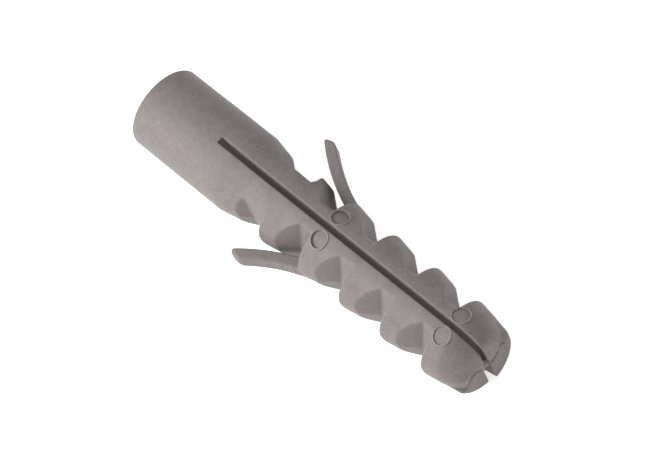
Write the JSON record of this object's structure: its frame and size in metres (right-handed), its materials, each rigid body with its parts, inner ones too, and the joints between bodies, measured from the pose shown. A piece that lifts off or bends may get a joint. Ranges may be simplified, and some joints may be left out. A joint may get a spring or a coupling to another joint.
{
  "type": "wall anchor",
  "caption": "Slotted plastic wall plug with a plain tubular collar, sawtooth jaws that a screw spreads, and two barbed side tongues that stop it turning.",
  "frame": {"origin": "centre of the mouth, on the axis", "axes": "+Y runs along the axis from the mouth to the tip, +Z and -Z are the open sides of the slot, +X and -X are the two jaws and their tongues"},
  "size_m": [0.016, 0.05, 0.0098],
  "materials": {
    "nylon": "fine satin moulded skin, warm grey"
  },
  "bodies": {
    "collar": {"sleeve": "nylon"},
    "left_jaw": {"jaw_left": "nylon"},
    "left_tongue": {"tongue_left": "nylon"},
    "right_jaw": {"jaw_right": "nylon"},
    "right_tongue": {"tongue_right": "nylon"}
  },
  "joints": [
    {"name": "left_jaw_spread", "type": "hinge", "parent": "collar", "child": "left_jaw", "pos_m": [-0.0049, 0.0108, 0], "axis": [0, 0, 1], "range_deg": [-0.2, 5], "stiffness_Nm_per_rad": 1},
    {"name": "right_jaw_spread", "type": "hinge", "parent": "collar", "child": "right_jaw", "pos_m": [0.0049, 0.0108, 0], "axis": [0, 0, -1], "range_deg": [-0.2, 5], "stiffness_Nm_per_rad": 1},
    {"name": "left_tongue_fold", "type": "hinge", "parent": "left_jaw", "child": "left_tongue", "pos_m": [-0.004, 0.02597, 0.0008], "axis": [0, 0, 1], "range_deg": [-6, 7], "stiffness_Nm_per_rad": 0.1},
    {"name": "right_tongue_fold", "type": "hinge", "parent": "right_jaw", "child": "right_tongue", "pos_m": [0.004, 0.02597, -0.0008], "axis": [0, 0, -1], "range_deg": [-6, 7], "stiffness_Nm_per_rad": 0.1}
  ],
  "couplings": [
    {"joint": "right_jaw_spread", "follows": "left_jaw_spread", "ratio": 1}
  ]
}
